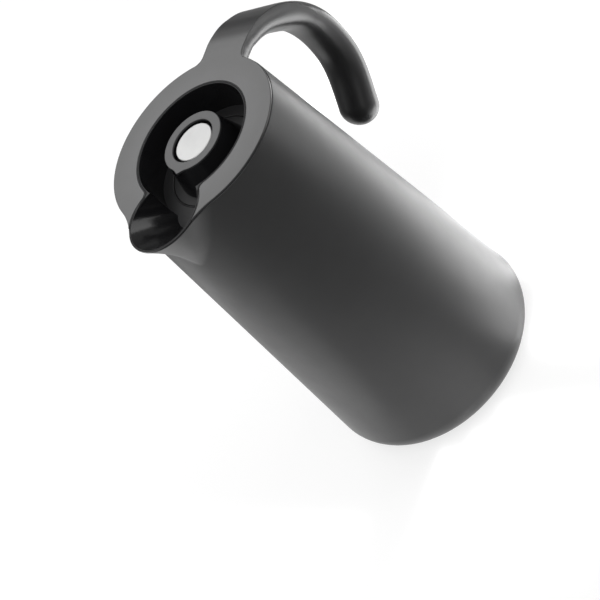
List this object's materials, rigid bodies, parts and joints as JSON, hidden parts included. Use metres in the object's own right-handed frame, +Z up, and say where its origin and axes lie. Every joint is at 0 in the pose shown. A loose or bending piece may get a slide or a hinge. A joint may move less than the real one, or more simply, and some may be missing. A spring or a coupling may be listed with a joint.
{
  "type": "vacuum carafe",
  "caption": "Tapered vacuum carafe with an open pouring spout, a hook-shaped handle on a flat ring and a round screw stopper with a push-button valve.",
  "frame": {"origin": "centre of the base on the vessel axis, on the surface that the foot ring stands on", "axes": "+Z up the vessel axis; -X towards the spout; +X towards the handle; +Y to the left of the spout seen from the handle"},
  "size_m": [0.1829, 0.1282, 0.2225],
  "materials": {
    "shell": "satin paint on a moulding",
    "base": "matte",
    "foot": "matte",
    "cushion": "matte",
    "flask_outer": "silvered inside the gap",
    "flask_inner": "silvered inside the gap",
    "spacers": "fibre pad",
    "gasket": "matte",
    "collar": "gloss",
    "handle": "fine matt grain",
    "screws": "plain",
    "stopper_cap": "fine matt grain",
    "stopper_body": "satin",
    "valve_seat": "satin",
    "spring": "drawn wire",
    "button": "satin",
    "plunger": "satin",
    "rod": "satin",
    "valve": "satin",
    "clip": "plain"
  },
  "bodies": {
    "jug": {"outer_shell": "shell", "base_cover": "base", "foot_ring": "foot", "flask_cushion": "cushion", "flask_outer_bottle": "flask_outer", "flask_inner_bottle": "flask_inner", "flask_spacers": "spacers", "neck_gasket": "gasket", "pour_collar": "collar", "handle_frame": "handle", "collar_screws": "screws"},
    "gasket_carrier": {"flange_gasket": "gasket"},
    "stopper": {"stopper_cap": "stopper_cap", "stopper_body": "stopper_body", "valve_guide": "stopper_body", "valve_seat": "valve_seat"},
    "button": {"push_button": "button", "button_plunger": "plunger", "valve_rod": "rod", "valve_disc": "valve", "valve_seal": "gasket", "rod_clip": "clip", "return_spring": "spring"}
  },
  "joints": [
    {"name": "stopper_rise", "type": "slide", "parent": "jug", "child": "gasket_carrier", "axis": [0, 0, 1], "range_m": [0, 0.0541]},
    {"name": "stopper_turn", "type": "hinge", "parent": "gasket_carrier", "child": "stopper", "pos_m": [0, 0, 0.2], "axis": [0, 0, 1], "range_deg": [0, 540]},
    {"name": "button_press", "type": "slide", "parent": "stopper", "child": "button", "axis": [0, 0, -1], "range_m": [0, 0.004], "stiffness_N_per_m": 1200, "springref_m": -0.003, "deforming": ["return_spring"]}
  ],
  "couplings": [
    {"joint": "stopper_rise", "follows": "stopper_turn", "m_per_rad": 0.005729}
  ]
}
